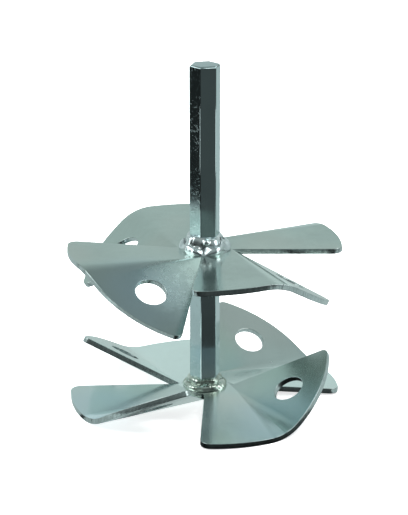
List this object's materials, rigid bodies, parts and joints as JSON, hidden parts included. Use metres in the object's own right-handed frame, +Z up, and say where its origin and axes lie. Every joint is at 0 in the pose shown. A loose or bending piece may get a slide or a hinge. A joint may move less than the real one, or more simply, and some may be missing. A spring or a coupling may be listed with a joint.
{
  "type": "propeller mixing paddle",
  "caption": "Mixing paddle with two pressed sheet propellers welded on a hexagon bar, their bent blade corners facing each other.",
  "frame": {"origin": "on the axis of the bar, at the level of the lowest rims of the lower propeller, on which the paddle stands", "axes": "+Z up along the bar towards its drive end, +X along the leading edge of one blade of the lower propeller"},
  "size_m": [0.12, 0.12, 0.1512],
  "materials": {
    "bar": "bright zinc plate",
    "propeller": "bright zinc plate",
    "weld": "bright zinc plate over an uneven weld"
  },
  "bodies": {
    "root": {"hex_bar": "bar", "upper_propeller": "propeller", "lower_propeller": "propeller", "upper_weld": "weld", "lower_weld": "weld"}
  },
  "joints": []
}
